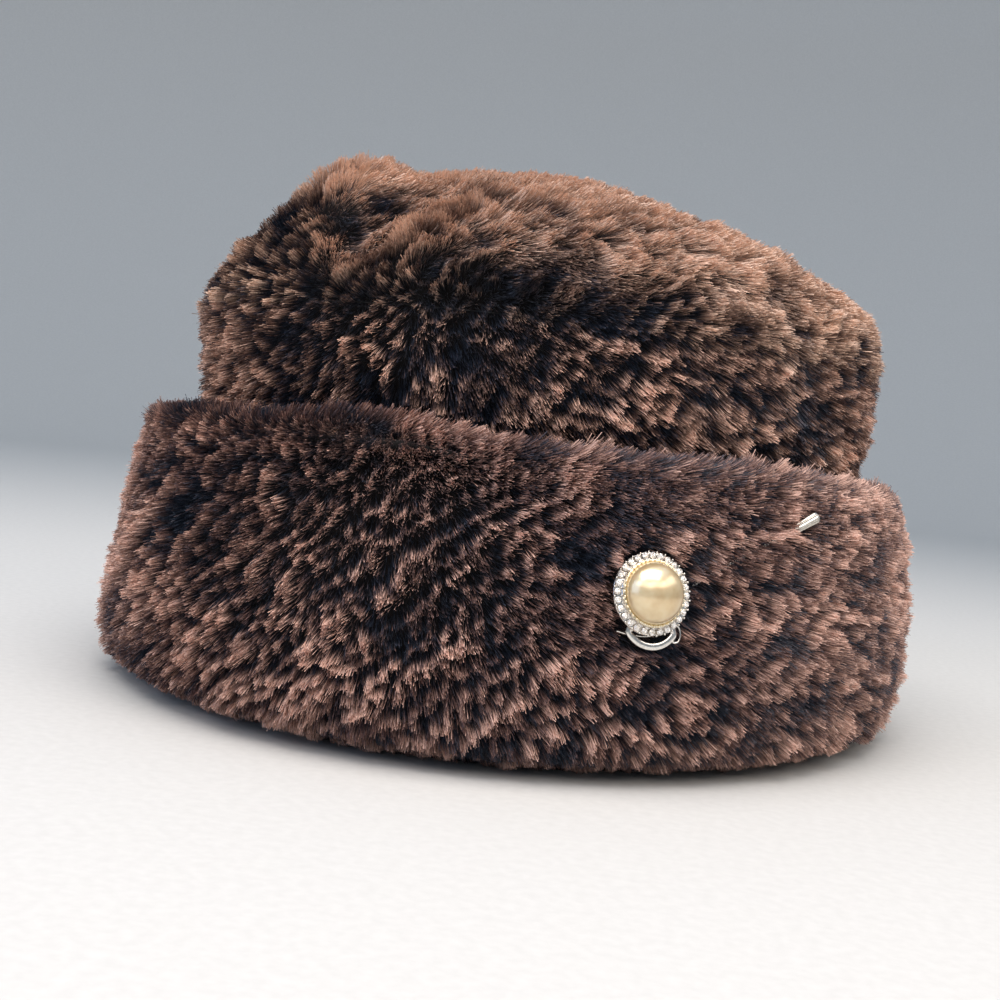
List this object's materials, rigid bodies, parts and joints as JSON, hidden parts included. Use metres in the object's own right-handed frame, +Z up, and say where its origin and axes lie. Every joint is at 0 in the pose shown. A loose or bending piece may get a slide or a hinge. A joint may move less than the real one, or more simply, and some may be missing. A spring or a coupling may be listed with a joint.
{
  "type": "fur hat",
  "caption": "Round fur hat: a soft domed crown over a deep turned-up cuff of dense curly pile, with a pearl stick pin worn in the cuff.",
  "frame": {"origin": "on the surface that the hat rests on, under the middle of its plan", "axes": "+Z up through the crown, +Y from the hat's front to its back along its longer side, +X to the right of someone who looks at its front"},
  "size_m": [0.2301, 0.2682, 0.1499],
  "materials": {
    "cuff_fur": "dark brown curly plush fur, bluish black at the roots",
    "crown_fur": "dark brown curly plush fur, bluish black at the roots",
    "tip_fur": "brown plush fur, lighter at the tips",
    "pin_metal": "polished, silver-coloured",
    "pearl": "cream pearl lustre",
    "halo_stone": "clear cut crystal"
  },
  "bodies": {
    "root": {"cuff": "cuff_fur", "crown_band": "crown_fur", "crown_tip": "tip_fur", "pin_setting": "pin_metal", "pin_clutch": "pin_metal", "pearl": "pearl", "halo_stone_01": "halo_stone", "halo_stone_02": "halo_stone", "halo_stone_03": "halo_stone", "halo_stone_04": "halo_stone", "halo_stone_05": "halo_stone", "halo_stone_06": "halo_stone", "halo_stone_07": "halo_stone", "halo_stone_08": "halo_stone", "halo_stone_09": "halo_stone", "halo_stone_10": "halo_stone", "halo_stone_11": "halo_stone", "halo_stone_12": "halo_stone", "halo_stone_13": "halo_stone", "halo_stone_14": "halo_stone", "halo_stone_15": "halo_stone", "halo_stone_16": "halo_stone", "halo_stone_17": "halo_stone", "halo_stone_18": "halo_stone", "halo_stone_19": "halo_stone", "halo_stone_20": "halo_stone", "halo_stone_21": "halo_stone", "halo_stone_22": "halo_stone", "halo_stone_23": "halo_stone", "halo_stone_24": "halo_stone", "halo_stone_25": "halo_stone", "halo_stone_26": "halo_stone", "halo_stone_27": "halo_stone", "halo_stone_28": "halo_stone"}
  },
  "joints": []
}
